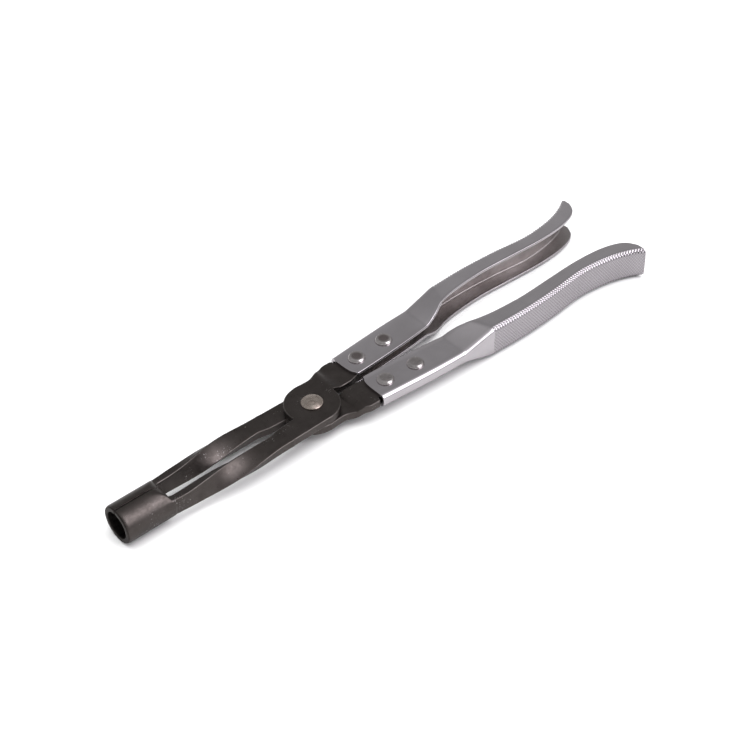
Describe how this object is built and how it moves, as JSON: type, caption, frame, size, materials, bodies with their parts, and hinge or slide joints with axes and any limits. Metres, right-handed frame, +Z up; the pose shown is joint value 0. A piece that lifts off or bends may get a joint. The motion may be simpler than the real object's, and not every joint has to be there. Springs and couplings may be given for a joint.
{
  "type": "valve stem seal pliers",
  "caption": "Long-nosed pliers with crossed steel jaws closing into a split round socket, and knurled channel handles riveted to the tangs.",
  "frame": {"origin": "on the surface that the tool lies on, under the middle of its bounding box", "axes": "+X from the socket to the handle ends, +Y across to the upper jaw's handle, +Z up along the pivot rivet"},
  "size_m": [0.2814, 0.056, 0.0174],
  "materials": {
    "black_steel": "black oxide, satin",
    "chrome_plate": "polished, knurled over the grip",
    "rivet_steel": "bare domed head",
    "plated_rivet": "plated domed head"
  },
  "bodies": {
    "upper_half": {"upper_jaw": "black_steel", "upper_handle": "chrome_plate", "upper_handle_front_rivet": "plated_rivet", "upper_handle_rear_rivet": "plated_rivet", "pivot_rivet": "rivet_steel"},
    "lower_half": {"lower_jaw": "black_steel", "lower_handle": "chrome_plate", "lower_handle_front_rivet": "plated_rivet", "lower_handle_rear_rivet": "plated_rivet"}
  },
  "joints": [
    {"name": "pivot", "type": "hinge", "parent": "upper_half", "child": "lower_half", "pos_m": [-0.0395, 0, 0.0087], "axis": [0, 0, -1], "range_deg": [0, 25]}
  ]
}
